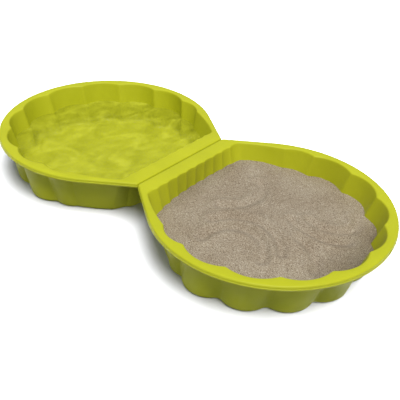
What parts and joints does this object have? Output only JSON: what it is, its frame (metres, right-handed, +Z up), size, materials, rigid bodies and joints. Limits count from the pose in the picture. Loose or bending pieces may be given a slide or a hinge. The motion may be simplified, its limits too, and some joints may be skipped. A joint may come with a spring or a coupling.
{
  "type": "sandbox with cover",
  "caption": "Two-part play tub: a scalloped shell filled with sand, and a matching shell that closes it as a cover or stands open beside it as a water basin.",
  "frame": {"origin": "on the floor, under the middle of the seam between the two halves", "axes": "+X from the seam to the far tip of the sand half, +Y along the seam, +Z up"},
  "size_m": [1.73, 0.8848, 0.18],
  "materials": {
    "base_plastic": "satin lime green moulded plastic",
    "cover_plastic": "satin lime green moulded plastic",
    "sand": "loose dry play sand",
    "water": "clear water"
  },
  "bodies": {
    "base": {"base_shell": "base_plastic", "sand_fill": "sand"},
    "cover": {"cover_shell": "cover_plastic", "water_fill": "water"}
  },
  "joints": [
    {"name": "cover_fold", "type": "hinge", "parent": "base", "child": "cover", "pos_m": [0, 0, 0.1802], "axis": [0, 1, 0], "range_deg": [0, 180], "deforming": ["water_fill"]}
  ]
}
